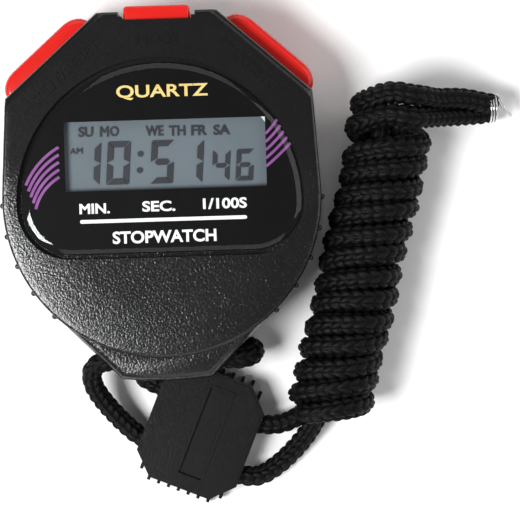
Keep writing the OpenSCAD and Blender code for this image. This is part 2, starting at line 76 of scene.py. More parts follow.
def new_object(name, verts_mm, faces, smooth_angle=35):
    """A mesh object from points in millimetres."""
    mesh = bpy.data.meshes.new(name)
    mesh.from_pydata([tuple(np.array(v) * MM) for v in verts_mm], [], faces)
    mesh.validate()
    ob = bpy.data.objects.new(name, mesh)
    bpy.context.scene.collection.objects.link(ob)
    shade(ob, smooth_angle)
    return ob


def shade(ob, angle=35):
    """Smooth shading with edges sharper than the angle kept sharp."""
    for p in ob.data.polygons:
        p.use_smooth = True
    ob.data.set_sharp_from_angle(angle=math.radians(angle))


def apply_modifiers(ob):
    """Replaces the object's mesh by its evaluated one."""
    dg = bpy.context.evaluated_depsgraph_get()
    mesh = bpy.data.meshes.new_from_object(ob.evaluated_get(dg))
    ob.modifiers.clear()
    ob.data = mesh
    return ob


def boolean(ob, cutters, operation="DIFFERENCE"):
    """Cuts or joins the cutters into ob and deletes them."""
    for c in cutters:
        m = ob.modifiers.new("cut", "BOOLEAN")
        m.operation = operation
        m.solver = "EXACT"
        m.object = c
    apply_modifiers(ob)
    for c in cutters:
        bpy.data.objects.remove(c)
    return ob


def box_object(name, low, high):
    """A plain box, used only to cut with."""
    x0, y0, _ = low
    x1, y1, _ = high
    v = [(x, y, z) for z in (low[2], high[2]) for x, y in ((x0, y0), (x1, y0), (x1, y1), (x0, y1))]
    f = [(3, 2, 1, 0), (4, 5, 6, 7), (0, 1, 5, 4), (1, 2, 6, 5), (2, 3, 7, 6), (3, 0, 4, 7)]
    return new_object(name, v, f)


def inset_loop(points, d):
    """An anticlockwise outline moved inward by d, one distance or one for each point."""
    p = np.array(points, float)
    prev, nxt = np.roll(p, 1, 0), np.roll(p, -1, 0)

    def normal(a, b):
        t = b - a
        t /= np.linalg.norm(t, axis=1)[:, None]
        return np.stack([-t[:, 1], t[:, 0]], 1)

    n1, n2 = normal(prev, p), normal(p, nxt)
    return p + np.broadcast_to(d, len(p))[:, None] * (n1 + n2) / (1 + (n1 * n2).sum(1))[:, None]


def recalculate(ob):
    """Points every face outward."""
    bm = bmesh.new()
    bm.from_mesh(ob.data)
    bmesh.ops.recalc_face_normals(bm, faces=bm.faces)
    bm.to_mesh(ob.data)
    bm.free()


def arc(cx, cy, r, a0, a1, n):
    """Points along an arc, from angle a0 to a1 in degrees."""
    return [(cx + r * math.cos(math.radians(a0 + (a1 - a0) * i / n)),
             cy + r * math.sin(math.radians(a0 + (a1 - a0) * i / n))) for i in range(n + 1)]


def rounded_corner(points, radii, steps=5):
    """A convex anticlockwise polygon with each corner rounded to its radius."""
    out = []
    n = len(points)
    for i, (p, r) in enumerate(zip(points, radii)):
        p = Vector(p)
        if r <= 0:
            out.append(tuple(p))
            continue
        a = (Vector(points[i - 1]) - p).normalized()
        b = (Vector(points[(i + 1) % n]) - p).normalized()
        half = a.angle(b) / 2
        cut = r / math.tan(half)
        centre = p + (a + b).normalized() * (r / math.sin(half))
        s, e = p + a * cut - centre, p + b * cut - centre
        turn = s.angle(e)
        for k in range(steps + 1):
            t = turn * k / steps
            rot = Matrix.Rotation(t, 2)
            out.append(tuple(centre + rot @ s))
    return out


# ---------- camera, floor and light ----------

# In metres: the point looked at, the camera's distance from it, and the width seen there
VIEW_AT = Vector((19.9, -14.4, FACE_Z)) * MM
VIEW_FAR = 0.45
VIEW_WIDE = 0.10725
VIEW_TURN = -1.75  # degrees
SENSOR = 36.0

# Each light: its name, its place, what it is aimed at, its size and its power
LIGHTS = [
    ("key", (-0.36, -0.17, 0.6), (0.0, -0.02, 0.01), 0.27, 6.6),
    ("fill_right", (0.8, 0.2, 0.6), (0.02, 0, 0), 0.9, 3.6),
    ("fill_back", (0, 0.85, 0.6), (0.02, 0, 0), 0.9, 2.4),
    ("fill_front", (0.15, -0.85, 0.6), (0.02, 0, 0), 0.9, 2.4),
]
SKY = 0.12
FLOOR_HALF = 1.5
FLOOR_WHITE = 0.93


def make_camera():
    cam = bpy.data.cameras.new("camera")
    cam.sensor_width = SENSOR
    cam.lens = SENSOR * VIEW_FAR / VIEW_WIDE
    cam.clip_start = 0.01
    cam.clip_end = 20
    ob = bpy.data.objects.new("camera", cam)
    ob.location = VIEW_AT + Vector((0, 0, VIEW_FAR))
    ob.rotation_euler = (0, 0, math.radians(VIEW_TURN))
    bpy.context.scene.collection.objects.link(ob)
    bpy.context.scene.camera = ob


def area_light(name, at, aim, size, power):
    lamp = bpy.data.lights.new(name, "AREA")
    lamp.shape = "SQUARE"
    lamp.size = size
    lamp.energy = power
    ob = bpy.data.objects.new(name, lamp)
    ob.location = at
    ob.rotation_euler = (Vector(aim) - Vector(at)).to_track_quat("-Z", "Y").to_euler()
    bpy.context.scene.collection.objects.link(ob)


def make_stage():
    mesh = bpy.data.meshes.new("floor")
    corners = [(x * FLOOR_HALF, y * FLOOR_HALF, 0) for x, y in ((-1, -1), (1, -1), (1, 1), (-1, 1))]
    mesh.from_pydata(corners, [], [(0, 1, 2, 3)])
    floor = bpy.data.objects.new("floor", mesh)
    bpy.context.scene.collection.objects.link(floor)
    mat = bpy.data.materials.new("floor")
    mat.use_nodes = True
    bsdf = mat.node_tree.nodes["Principled BSDF"]
    bsdf.inputs["Base Color"].default_value = (FLOOR_WHITE, FLOOR_WHITE, FLOOR_WHITE, 1)
    bsdf.inputs["Roughness"].default_value = 0.6
    bsdf.inputs["Specular IOR Level"].default_value = 0.1
    floor.data.materials.append(mat)
    for light in LIGHTS:
        area_light(*light)
    world = bpy.data.worlds.new("studio")
    world.use_nodes = True
    world.node_tree.nodes["Background"].inputs["Color"].default_value = (1, 1, 1, 1)
    world.node_tree.nodes["Background"].inputs["Strength"].default_value = SKY
    bpy.context.scene.world = world
    bpy.context.scene.view_settings.view_transform = "Standard"
    bpy.context.scene.view_settings.look = "None"


make_camera()
make_stage()


# ---------- materials ----------

def new_material(name):
    mat = bpy.data.materials.new(name)
    mat.use_nodes = True
    return mat, mat.node_tree, mat.node_tree.nodes["Principled BSDF"]


def set_uniform(bsdf, values):
    for socket, value in values.items():
        bsdf.inputs[socket].default_value = value


def noise(nt, scale, detail=3.0, rough=0.5, stretch=None):
    """A noise in object space; scale is in cells a millimetre."""
    node = nt.nodes.new("ShaderNodeTexNoise")
    node.inputs["Scale"].default_value = scale / MM
    node.inputs["Detail"].default_value = detail
    node.inputs["Roughness"].default_value = rough
    vector = nt.nodes.new("ShaderNodeTexCoord").outputs["Object"]
    if stretch:
        mapping = nt.nodes.new("ShaderNodeMapping")
        mapping.inputs["Scale"].default_value = stretch
        nt.links.new(vector, mapping.inputs["Vector"])
        vector = mapping.outputs["Vector"]
    nt.links.new(vector, node.inputs["Vector"])
    return node.outputs["Fac"]


def ramp(nt, fac, stops):
    """A colour for a 0 to 1 value, from (place, colour) stops."""
    node = nt.nodes.new("ShaderNodeValToRGB")
    elements = node.color_ramp.elements
    while len(elements) < len(stops):
        elements.new(0.5)
    for e, (at, colour) in zip(elements, stops):
        e.position = at
        e.color = (*colour, 1)
    nt.links.new(fac, node.inputs["Fac"])
    return node.outputs["Color"]


def math_node(nt, operation, a, b):
    """A Math node on two values, each a socket or a number."""
    node = nt.nodes.new("ShaderNodeMath")
    node.operation = operation
    for socket, value in zip(node.inputs, (a, b)):
        if isinstance(value, (int, float)):
            socket.default_value = value
        else:
            nt.links.new(value, socket)
    return node.outputs[0]


def tone_noise(nt, bsdf, scale, detail, dark, light):
    """A base colour that drifts between two tones."""
    tone = ramp(nt, noise(nt, scale, detail), [(0.3, dark), (0.7, light)])
    nt.links.new(tone, bsdf.inputs["Base Color"])


def rough_noise(nt, bsdf, fac, low, high):
    """A roughness that follows a 0 to 1 value."""
    nt.links.new(spread(nt, fac, low, high), bsdf.inputs["Roughness"])


def spread(nt, fac, low, high):
    """Maps a 0 to 1 value to low to high."""
    node = nt.nodes.new("ShaderNodeMapRange")
    node.inputs["To Min"].default_value = low
    node.inputs["To Max"].default_value = high
    nt.links.new(fac, node.inputs["Value"])
    return node.outputs["Result"]


def bump(nt, height, strength, depth_mm, under=None):
    node = nt.nodes.new("ShaderNodeBump")
    node.inputs["Strength"].default_value = strength
    node.inputs["Distance"].default_value = depth_mm * MM
    nt.links.new(height, node.inputs["Height"])
    if under is not None:
        nt.links.new(under, node.inputs["Normal"])
    return node.outputs["Normal"]


def grey(v, tint=(1, 1, 1)):
    return tuple(v * t for t in tint)


def plastic(name, dark, light, rough, grain, grain_depth, specular=0.5, cloud=0.12, coat=0.0,
            strength=1.0):
    """Moulded plastic: a slow tone change, a fine surface grain and an uneven roughness."""
    mat, nt, bsdf = new_material(name)
    tone_noise(nt, bsdf, cloud, 3, dark, light)
    fine = noise(nt, grain, 2, 0.6)
    rough_noise(nt, bsdf, noise(nt, grain * 0.4, 3), *rough)
    nt.links.new(bump(nt, fine, strength, grain_depth), bsdf.inputs["Normal"])
    set_uniform(bsdf, {"Specular IOR Level": specular, "Coat Weight": coat})
    return mat


# Where the case's grain begins and where it is full, upward from the dial's middle, in mm, and how
# much of it the upper part keeps
GRAIN_FROM, GRAIN_FULL = 12, 2
GRAIN_ABOVE = 0.22


def textured_case():
    """Spark-eroded plastic over the dial's lower half, satin over its upper part."""
    mat, nt, bsdf = new_material("case_textured")
    tone_noise(nt, bsdf, 0.1, 4, grey(0.004), grey(0.006))
    split = nt.nodes.new("ShaderNodeSeparateXYZ")
    nt.links.new(nt.nodes.new("ShaderNodeTexCoord").outputs["Object"], split.inputs["Vector"])
    low = nt.nodes.new("ShaderNodeMapRange")
    low.inputs["From Min"].default_value = (DIAL_Y + GRAIN_FROM) * MM
    low.inputs["From Max"].default_value = (DIAL_Y + GRAIN_FULL) * MM
    low.interpolation_type = "SMOOTHSTEP"
    nt.links.new(split.outputs["Y"], low.inputs["Value"])
    grains = noise(nt, 2.2, 1, 0.5)
    pits = noise(nt, 4.6, 1, 0.5)
    relief = math_node(nt, "ADD", grains, math_node(nt, "MULTIPLY", pits, 0.4))
    held = math_node(nt, "MULTIPLY", relief, spread(nt, low.outputs["Result"], GRAIN_ABOVE, 1.0))
    nt.links.new(bump(nt, held, 1.0, 0.08), bsdf.inputs["Normal"])
    rough_noise(nt, bsdf, noise(nt, 1.3, 3), 0.18, 0.26)
    set_uniform(bsdf, {"Specular IOR Level": 0.6})
    return mat


def braid_fabric():
    """Black braided yarn: filaments along each float, with painted shade that darkens the hollows.
    """
    mat, nt, bsdf = new_material("cord_fabric")
    uv = nt.nodes.new("ShaderNodeUVMap")
    uv.uv_map = "braid"
    filaments = nt.nodes.new("ShaderNodeTexNoise")
    filaments.inputs["Scale"].default_value = 1.0
    filaments.inputs["Detail"].default_value = 3.0
    mapping = nt.nodes.new("ShaderNodeMapping")
    mapping.inputs["Scale"].default_value = (2.0, 11.0, 1.0)
    nt.links.new(uv.outputs["UV"], mapping.inputs["Vector"])
    nt.links.new(mapping.outputs["Vector"], filaments.inputs["Vector"])
    fuzz = noise(nt, 9, 3, 0.6)
    worn = noise(nt, 0.35, 3)
    # painted shade: the braid's height darkens the base colour towards the hollows between the
    # floats, and the crests stay lighter
    crest_shade = nt.nodes.new("ShaderNodeAttribute")
    crest_shade.attribute_name = "crest_shade"
    tone = math_node(nt, "MULTIPLY", crest_shade.outputs["Fac"],
                     spread(nt, filaments.outputs["Fac"], 0.55, 1.3))
    nt.links.new(ramp(nt, tone, [(0.25, grey(0.0006)), (0.95, grey(0.0045))]),
                 bsdf.inputs["Base Color"])
    under = bump(nt, fuzz, 0.5, 0.05)
    nt.links.new(bump(nt, filaments.outputs["Fac"], 0.8, 0.09, under), bsdf.inputs["Normal"])
    rough_noise(nt, bsdf, worn, 0.42, 0.6)
    set_uniform(bsdf, {"Specular IOR Level": 0.12, "Sheen Weight": 0.004, "Sheen Roughness": 0.4})
    return mat


def metal(name, colour, rough, brushed=(1, 1, 1)):
    """Bare metal; brushed stretches its fine marks."""
    mat, nt, bsdf = new_material(name)
    tone_noise(nt, bsdf, 0.5, 3, grey(0.85, colour), colour)
    rough_noise(nt, bsdf, noise(nt, 2, 3, stretch=brushed), *rough)
    nt.links.new(bump(nt, noise(nt, 3, 3, stretch=brushed), 0.3, 0.02), bsdf.inputs["Normal"])
    set_uniform(bsdf, {"Metallic": 1.0})
    return mat


def clear_lens():
    """Clear acrylic: gloss by Fresnel over plain transparency, so that the light gets in."""
    mat, nt, bsdf = new_material("lens_acrylic")
    out = nt.nodes["Material Output"]
    nt.nodes.remove(bsdf)
    clear = nt.nodes.new("ShaderNodeBsdfTransparent")
    clear.inputs["Color"].default_value = (0.985, 0.99, 0.99, 1)
    gloss = nt.nodes.new("ShaderNodeBsdfGlossy")
    gloss.inputs["Roughness"].default_value = 0.03
    fresnel = nt.nodes.new("ShaderNodeFresnel")
    fresnel.inputs["IOR"].default_value = 1.49
    wave = bump(nt, noise(nt, 0.05, 2), 0.15, 0.05)
    nt.links.new(wave, gloss.inputs["Normal"])
    nt.links.new(wave, fresnel.inputs["Normal"])
    mix = nt.nodes.new("ShaderNodeMixShader")
    # only the outer side mirrors: seen from inside, Fresnel would turn slanting light back
    back = nt.nodes.new("ShaderNodeNewGeometry").outputs["Backfacing"]
    share = math_node(nt, "MULTIPLY", fresnel.outputs["Fac"], math_node(nt, "SUBTRACT", 1, back))
    nt.links.new(share, mix.inputs["Fac"])
    nt.links.new(clear.outputs["BSDF"], mix.inputs[1])
    nt.links.new(gloss.outputs["BSDF"], mix.inputs[2])
    nt.links.new(mix.outputs["Shader"], out.inputs["Surface"])
    return mat


def circuit():
    """Green solder mask with lighter copper tracks under it."""
    mat, nt, bsdf = new_material("board_green")
    cells = nt.nodes.new("ShaderNodeTexBrick")
    cells.inputs["Scale"].default_value = 0.25 / MM
    cells.inputs["Color1"].default_value = (0.01, 0.12, 0.045, 1)
    cells.inputs["Color2"].default_value = (0.012, 0.14, 0.05, 1)
    cells.inputs["Mortar"].default_value = (0.03, 0.25, 0.08, 1)
    cells.inputs["Mortar Size"].default_value = 0.06
    nt.links.new(nt.nodes.new("ShaderNodeTexCoord").outputs["Object"], cells.inputs["Vector"])
    nt.links.new(cells.outputs["Color"], bsdf.inputs["Base Color"])
    nt.links.new(bump(nt, cells.outputs["Fac"], 0.4, 0.03), bsdf.inputs["Normal"])
    rough_noise(nt, bsdf, noise(nt, 1, 3), 0.3, 0.45)
    return mat


def display_glass():
    """The blue-grey of a reflective liquid-crystal cell, slightly uneven."""
    mat, nt, bsdf = new_material("lcd_grey")
    tone_noise(nt, bsdf, 0.06, 2, (0.105, 0.13, 0.152), (0.122, 0.152, 0.175))
    nt.links.new(bump(nt, noise(nt, 5, 2), 0.2, 0.02), bsdf.inputs["Normal"])
    rough_noise(nt, bsdf, noise(nt, 2, 2), 0.42, 0.55)
    return mat


RED = (0.66, 0.014, 0.01)
MATERIALS = {
    "case": textured_case(),
    "case_satin": plastic("case_satin", grey(0.004), grey(0.006), (0.2, 0.28), 4, 0.03,
                          strength=0.5),
    "case_back": plastic("case_back", grey(0.007), grey(0.011), (0.36, 0.48), 3.2, 0.09),
    "lens": clear_lens(),
    "mask": plastic("mask_ink", grey(0.001), grey(0.002), (0.35, 0.45), 2, 0.01,
                    specular=0.1, strength=0.3),
    "print_white": plastic("print_white", grey(0.8), grey(0.86), (0.4, 0.5), 5, 0.01, strength=0.3),
    "print_gold": plastic("print_gold", (0.72, 0.52, 0.16), (0.85, 0.66, 0.26), (0.3, 0.45), 5,
                          0.02),
    "print_purple": plastic("print_purple", (0.2, 0.05, 0.23), (0.26, 0.07, 0.29), (0.35, 0.5),
                            5, 0.01, cloud=0.3),
    "tape": plastic("tape_clear", grey(0.7), grey(0.78), (0.5, 0.6), 3, 0.02),
    "lcd": display_glass(),
    "lcd_ink": plastic("lcd_segments", (0.012, 0.014, 0.02), (0.018, 0.02, 0.028), (0.4, 0.5), 3,
                       0.01),
    "reflector": metal("reflector_foil", (0.8, 0.82, 0.82), (0.3, 0.4)),
    "frame_plastic": plastic("frame_white", grey(0.7), grey(0.78), (0.4, 0.55), 3, 0.03),
    "zebra": plastic("zebra_rubber", (0.55, 0.2, 0.24), (0.65, 0.26, 0.3), (0.5, 0.65), 3, 0.04),
    "board": circuit(),
    "epoxy": plastic("epoxy_black", grey(0.01), grey(0.016), (0.2, 0.35), 0.6, 0.05),
    "ceramic_chip": plastic("chip_ceramic", (0.4, 0.26, 0.15), (0.48, 0.32, 0.2), (0.4, 0.5), 3,
                            0.03),
    "steel": metal("steel", (0.62, 0.62, 0.62), (0.22, 0.36), (1, 6, 1)),
    "contact": metal("contact_bronze", (0.75, 0.58, 0.32), (0.25, 0.38), (6, 1, 1)),
    "button": plastic("button_red", grey(0.92, RED), RED, (0.2, 0.3), 1.5, 0.03, specular=0.35,
                      cloud=0.2, coat=0.2, strength=0.5),
    "adjuster": plastic("adjuster_plastic", grey(0.004), grey(0.006), (0.21, 0.27), 3, 0.04,
                        specular=0.4),
    "cord": braid_fabric(),
    "wire": metal("tie_steel", (0.75, 0.75, 0.76), (0.15, 0.28), (1, 1, 1)),
}


# ---------- cords ----------

CORD_D = 4.4
HOLE_Y, HOLE_Z = -34.5, 12  # where the cord runs through the tab
HOLE_END = 13.2  # how far to each side it comes out

# The two strands from the tab's hole to the hank, along the same lines as the CAD cords
LEFT_ROUTE = [
    (0, -34.5, 12), (-7, -34.5, 12), (-11.5, -34.5, 12), (-14.2, -34.9, 11.7),
    (-16, -36.6, 10.6), (-16.1, -39.2, 9), (-14.9, -42, 7.2), (-12.8, -45, 5.5),
    (-10.2, -48, 4.3), (-6.9, -51, 3.7), (-2.5, -52.95, 3.7), (4, -55.65, 3.7),
    (10.4, -58.35, 3.7), (14.3, -60, 3.7), (18.2, -60.4, 3.3), (21.8, -58.6, 2.8),
    (25.2, -55.8, 2.6), (28.1, -52.6, 3.2), (30.4, -49.2, 4.8), (32, -46, 6.4)
]
RIGHT_ROUTE = [
    (0, -34.5, 12), (7, -34.5, 12), (11.5, -34.5, 12), (14.6, -34.7, 11.6),
    (17, -34.3, 10.1), (18, -33.6, 7.1), (16.9, -32.8, 4.2), (14.4, -32.4, 2.6),
    (8, -32.2, 2.3), (1, -32.1, 2.3), (-2.6, -32.3, 2.3), (-5.2, -33.5, 2.4),
    (-6.4, -35.8, 2.7), (-5.9, -38.3, 3.2), (-3.6, -39.9, 3.6), (2, -42.25, 3.7),
    (8.4, -44.95, 3.7), (14.8, -47.65, 3.7), (18.8, -49.3, 3.6), (21.8, -49.6, 3.4),
    (25, -48.9, 3.6), (28, -47.2, 4.6), (30.4, -45, 6)
]

# The hank: its foot and head, how far its turns' middles are from its axis, and how far one strand
# climbs in a turn. The two strands lie side by side, so the turns show at half that pitch.
HANK_FOOT = Vector((32.9, -48.6, 9.1))
HANK_HEAD = Vector((50.2, 18.6, 9.1))
HANK_ALONG = (HANK_HEAD - HANK_FOOT).normalized()
HANK_RIGHT = HANK_ALONG.cross(Vector((0, 0, 1)))
HANK_R = 6.7
HANK_PITCH = 9.3
HANK_LEAN = 0.5
TURN_POINTS = 24


def hank_point(along, right, up):
    return tuple(HANK_FOOT + HANK_ALONG * along + HANK_RIGHT * right + Vector((0, 0, up)))


def helix(start, phase, turns, last_bulge=0.0):
    """The wound turns from the foot up, each a little uneven. phase is the angle from the top of
    the hank at the start, in degrees. last_bulge lifts the last turn outward and on."""
    count = round(turns * TURN_POINTS)
    end = math.radians(phase + 360 * turns)
    points = []
    for i in range(count + 1):
        a = math.radians(phase) + 2 * math.pi * i / TURN_POINTS
        wander = 0.28 * math.sin(0.83 * a + phase) + 0.16 * math.sin(1.71 * a)
        last = float(smooth_step(count - 22, count - 8, i)) * last_bulge
        near_end = float(smooth_step(2.2, 0, abs((a - end) + 2)))
        r = HANK_R * (1 + 0.2 * last * near_end)
        r += 0.22 * math.sin(0.61 * a + 2 * phase)
        hump = 1.9 * last_bulge * math.exp(-((a - end + 1) / 0.55) ** 2)
        s = (start + HANK_PITCH * i / TURN_POINTS + wander + 2.3 * last + hump
             + HANK_LEAN * (math.sin(a) - math.sin(math.radians(phase))))
        points.append(hank_point(s, r * math.sin(a), min(r, HANK_R) * math.cos(a)))
    return points


def catmull(points, step):
    """A smooth curve through the points, resampled at even steps."""
    p = np.array(points, float)
    p = np.vstack([2 * p[0] - p[1], p, 2 * p[-1] - p[-2]])
    out = []
    for i in range(1, len(p) - 2):
        a, b, c, d = p[i - 1:i + 3]
        ta = 0
        tb = ta + np.linalg.norm(b - a) ** 0.5
        tc = tb + np.linalg.norm(c - b) ** 0.5
        td = tc + np.linalg.norm(d - c) ** 0.5
        t = np.linspace(tb, tc, 24, endpoint=False)[:, None]
        a1 = (tb - t) / (tb - ta) * a + (t - ta) / (tb - ta) * b
        a2 = (tc - t) / (tc - tb) * b + (t - tb) / (tc - tb) * c
        a3 = (td - t) / (td - tc) * c + (t - tc) / (td - tc) * d
        b1 = (tc - t) / (tc - ta) * a1 + (t - ta) / (tc - ta) * a2
        b2 = (td - t) / (td - tb) * a2 + (t - tb) / (td - tb) * a3
        out.append((tc - t) / (tc - tb) * b1 + (t - tb) / (tc - tb) * b2)
    out = np.vstack(out + [p[-2:-1]])
    run = np.concatenate([[0], np.cumsum(np.linalg.norm(np.diff(out, axis=0), axis=1))])
    even = np.linspace(0, run[-1], max(2, round(run[-1] / step)) + 1)
    return np.stack([np.interp(even, run, out[:, k]) for k in range(3)], 1)


def relax(path, rounds):
    """Takes the small kinks out of a path, its ends kept."""
    p = path.copy()
    for _ in range(rounds):
        p[1:-1] = p[1:-1] * 0.5 + (p[:-2] + p[2:]) * 0.25
    return p


def frames(path):
    """Directions along and across the path that don't twist from ring to ring."""
    along = np.gradient(path, axis=0)
    along /= np.linalg.norm(along, axis=1)[:, None]
    side = np.cross(along[0], (0, 0, 1.0))
    side /= np.linalg.norm(side)
    sides = []
    for t in along:
        side = side - t * side.dot(t)
        side /= np.linalg.norm(side)
        sides.append(side)
    sides = np.array(sides)
    return sides, np.cross(along, sides)


# The braid: floats round the cord, each float's length, how deep the hollows are and how much the
# floats lean, then the mesh's steps along and round the cord
FLOATS_ROUND = 8
FLOAT_LONG = 2.0
FLOAT_DEEP = 0.62
FLOAT_LEAN = 0.62
RING_STEP = 0.25
RING_SIDES = 48
RELAX_ROUNDS = 14


def braid_height(turn, run):
    """How high the braid stands at a part of a turn round the cord and a run along it, 0 to 1.
    Floats lean one way and the other from column to column, so that they meet in a V."""
    u = turn * FLOATS_ROUND
    column = np.floor(u)
    across = u - column
    lean = np.where(column % 2 == 0, 1.0, -1.0)
    v = run / FLOAT_LONG - lean * FLOAT_LEAN * (across - 0.5)
    along = v - np.floor(v)
    ridge = np.clip(1 - np.abs(2 * along - 1) ** 2, 0, 1) ** 0.6
    edge = np.clip(1 - np.abs(2 * across - 1) ** 2, 0, 1) ** 0.5
    return ridge * (0.15 + 0.85 * edge)


def braided_cord(name, path, swell):
    """A braided tube along the path, as a mesh whose UVs run round and along the cord in floats.
    swell, from 0 to 1 at each ring, presses the cord wider, as wound turns are."""
    sides, ups = frames(path)
    n = len(path)
    run = np.concatenate([[0], np.cumsum(np.linalg.norm(np.diff(path, axis=0), axis=1))])
    turn = (np.arange(RING_SIDES) / RING_SIDES)[None, :]
    angle = 2 * np.pi * turn
    high = braid_height(turn + 0 * run[:, None], run[:, None] + 0 * turn)
    r = (CORD_D / 2 - FLOAT_DEEP * (1 - high)) * (1 + 0.12 * swell)[:, None]
    from_end = np.minimum(run, run[-1] - run)
    r = r * np.sqrt(np.clip(1 - np.clip(1 - from_end / 0.9, 0, 1) ** 2, 0.02, 1))[:, None]
    verts = path[:, None, :] + r[..., None] * (
        np.cos(angle)[..., None] * sides[:, None, :] + np.sin(angle)[..., None] * ups[:, None, :])
    mesh = bpy.data.meshes.new(name)
    mesh.from_pydata((verts.reshape(-1, 3) * MM).tolist(), [], tube_faces(n, RING_SIDES))
    # the braid's height at each point, kept for the painted shade in the hollows
    crest_shade = mesh.attributes.new("crest_shade", "FLOAT", "POINT")
    crest_shade.data.foreach_set("value", high.ravel())
    uv = mesh.uv_layers.new(name="braid")
    for poly in mesh.polygons:
        wrap = len(poly.vertices) == 4 and max(poly.vertices) % RING_SIDES == RING_SIDES - 1
        for loop in poly.loop_indices:
            v = mesh.loops[loop].vertex_index
            j = v % RING_SIDES
            if wrap and j == 0:
                j = RING_SIDES
            uv.data[loop].uv = (j / RING_SIDES * FLOATS_ROUND, run[v // RING_SIDES] / FLOAT_LONG)
    ob = bpy.data.objects.new(name, mesh)
    bpy.context.scene.collection.objects.link(ob)
    for p in mesh.polygons:
        p.use_smooth = True
    return ob


def core_run(lane, first):
    """Up the middle of the hank in one lane, round its head and back down. first is the height of
    the way up."""
    up = [hank_point(s, lane, first) for s in (9, 18, 30, 42, 52, 58)]
    turn = [hank_point(60 + 3.2 * math.sin(a), lane, first * math.cos(a))
            for a in np.linspace(0.5, math.pi - 0.5, 4)]
    down = [hank_point(s, lane, -first) for s in (57, 48, 36, 24, 14, 9)]
    return up + turn + down


LANE = 1.9  # how far each hidden run lies from the hank's axis
LEFT_PATH = (LEFT_ROUTE + core_run(LANE, -LANE)
             + [hank_point(6.5, 0.4, 1.4), hank_point(3.4, -3, 1.6), hank_point(1.2, -5, 2.9)]
             + helix(1.3, -38, 7.22, 0.75)
             + [(57.8, 18.3, 11.6), (61, 18.5, 9.8), (64.5, 18.3, 8.2), (68.3, 17.5, 7),
                (71.4, 16.9, 6.4)])
RIGHT_PATH = (RIGHT_ROUTE + [hank_point(5.6, -2.6, 0.2)] + core_run(-LANE, LANE)
              + [hank_point(7.4, -2.4, -3.4), hank_point(5, -4.6, -4.8), hank_point(4, -6.9, -3.2)]
              + helix(4.6, -95, 6.38, 0.6)
              + [(57, 14.7, 10.6), (60.4, 15, 7.4), (64.2, 15.2, 4.9), (68, 15.4, 3),
                 (71.4, 15.7, 2.3)])

TIE_AT = Vector((69.6, 16.4, 4.5))
TIE_WIRE_R = 0.22
TIE_TURNS = 3


def wire_tube(name, points, r, sides=10, step=0.25):
    """A plain round wire through the points."""
    path = catmull(points, step)
    across, ups = frames(path)
    angle = np.linspace(0, 2 * np.pi, sides, endpoint=False)
    verts = path[:, None, :] + r * (np.cos(angle)[None, :, None] * across[:, None, :]
                                    + np.sin(angle)[None, :, None] * ups[:, None, :])
    return new_object(name, verts.reshape(-1, 3), tube_faces(len(path), sides), 60)


def make_tie():
    """A wire wound round the tail's two strands, its ends twisted together."""
    per_turn = 16
    wound = []
    for i in range(TIE_TURNS * per_turn + 1):
        a = 2 * math.pi * i / per_turn + 0.6
        wound.append(TIE_AT + Vector((0.55 * i / per_turn, 2.95 * math.cos(a), 4.35 * math.sin(a))))

    def twisted(side):
        """One wire of the twisted end; side is 1 or -1."""
        return [Vector((72 + 0.32 * k, 16.8 - 0.28 * k + side * 0.3 * math.sin(1.9 * k),
                        7.6 - 0.45 * k + side * 0.3 * math.cos(1.9 * k))) for k in range(1, 8)]

    tie = wire_tube("tie_wire", wound + twisted(1), TIE_WIRE_R)
    end = wire_tube("tie_wire_end", [TIE_AT + Vector((1.6, 1.6, 3.6))] + twisted(-1), TIE_WIRE_R)
    return tie, end


def make_cords():
    tie, tie_end = make_tie()
    for ob in (tie, tie_end):
        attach(ob, "root")
    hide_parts("cord_tie")
    foot, axis = np.array(HANK_FOOT), np.array(HANK_ALONG)
    for name, points, exit_x, nodes in (
            ("lanyard_left", LEFT_PATH, -HOLE_END, ("cord_left", "cord_hank", "cord_tail")),
            ("lanyard_right", RIGHT_PATH, HOLE_END, ("cord_right",))):
        path = relax(catmull(points, RING_STEP), RELAX_ROUNDS)
        along = (path - foot) @ axis
        from_axis = np.linalg.norm(path - foot - along[:, None] * axis, axis=1)
        # only the wound turns are pressed wider
        wound = smooth_step(0, 4, along) * (1 - smooth_step(69, 72, along))
        swell = smooth_step(4, 6, from_axis) * wound
        ob = braided_cord(name, path, swell)
        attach(ob, "root")
        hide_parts(*nodes)
        ob.data.materials.append(MATERIALS["cord"])
    for ob in (tie, tie_end):
        ob.data.materials.append(MATERIALS["wire"])


# ---------- case ----------

# About the dial's middle: the flat top's half width and height, where the shoulders meet the round
# body, and the lens's circle, its flat bottom and its corners' radius
TOP_HALF, TOP_Y = 12.45, 38.7
SHOULDER_HALF, SHOULDER_Y = 31.8, 21.5
SHOULDER_TURN = math.atan2(SHOULDER_Y - TOP_Y, SHOULDER_HALF - TOP_HALF)
SHOULDER_LONG = math.hypot(SHOULDER_HALF - TOP_HALF, SHOULDER_Y - TOP_Y)
TAB_TOP = 17.6
TAB_END = [(4.68, -37.75), (9.37, -37.3)]
LENS_R, LENS_Y, LENS_FLAT, LENS_CORNER = 29.4, -0.9, 11.6, 10.5


def case_outline(with_tab, spacing=1.6):
    """The case's outline about the dial's middle, anticlockwise, with points along its edges."""
    round_end = 3.34
    if with_tab:
        bottom = [(0, -TAB_REACH)] + TAB_END + arc(0, 0, CASE_R, -45, round_end, 34)
    else:
        bottom = arc(0, 0, CASE_R, -90, round_end, 60)
    right = bottom + [(SHOULDER_HALF, SHOULDER_Y), (TOP_HALF, TOP_Y)]
    corners = right + [(-x, y) for x, y in right[:0:-1]]
    out = []
    for a, b in zip(corners, corners[1:] + corners[:1]):
        parts = max(1, round(math.dist(a, b) / spacing))
        out += [(a[0] + (b[0] - a[0]) * k / parts, a[1] + (b[1] - a[1]) * k / parts)
                for k in range(parts)]
    return np.array(out)


